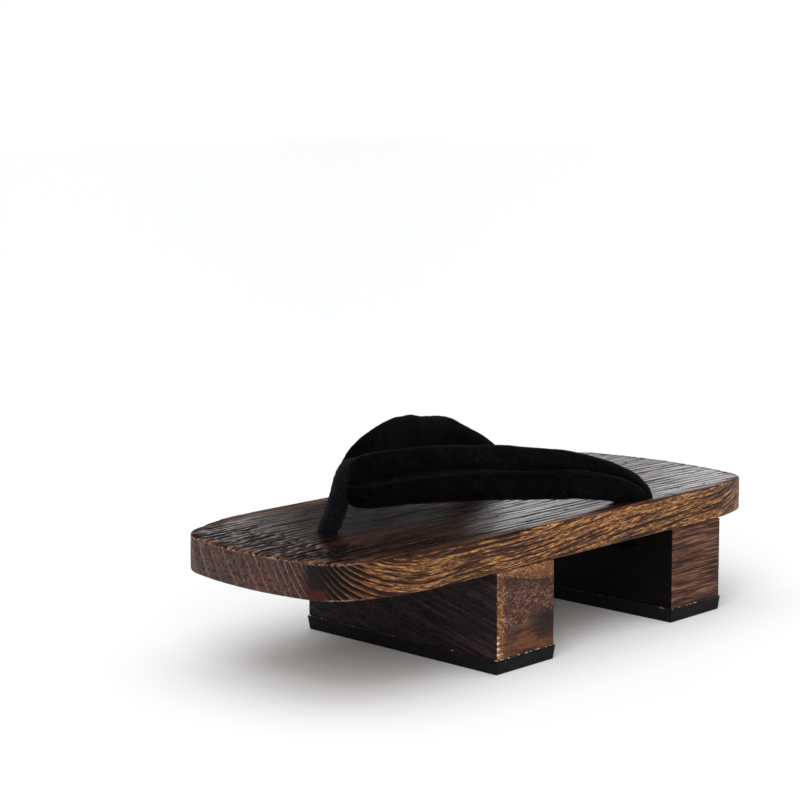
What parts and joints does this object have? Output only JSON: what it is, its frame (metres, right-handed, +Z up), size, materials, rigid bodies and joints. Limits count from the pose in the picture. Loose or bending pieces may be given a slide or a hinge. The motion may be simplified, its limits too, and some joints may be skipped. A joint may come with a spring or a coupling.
{
  "type": "geta sandal",
  "caption": "Wooden geta sandal: flat burnt-wood deck on cross teeth with rubber treads, and a padded black V strap with a toe thong.",
  "frame": {"origin": "on the floor, under the middle of the deck's length and width", "axes": "+X to the wearer's right, +Y to the toe, +Z up"},
  "size_m": [0.106, 0.2616, 0.0915],
  "materials": {
    "burnt_wood": "burnt and brushed straight grain under satin lacquer",
    "tread_rubber": "matte black sheet rubber",
    "strap_velvet": "black velvet over padding"
  },
  "bodies": {
    "root": {"deck": "burnt_wood", "front_tooth": "burnt_wood", "rear_tooth": "burnt_wood", "front_tread": "tread_rubber", "rear_tread": "tread_rubber", "straps": "strap_velvet"}
  },
  "joints": []
}
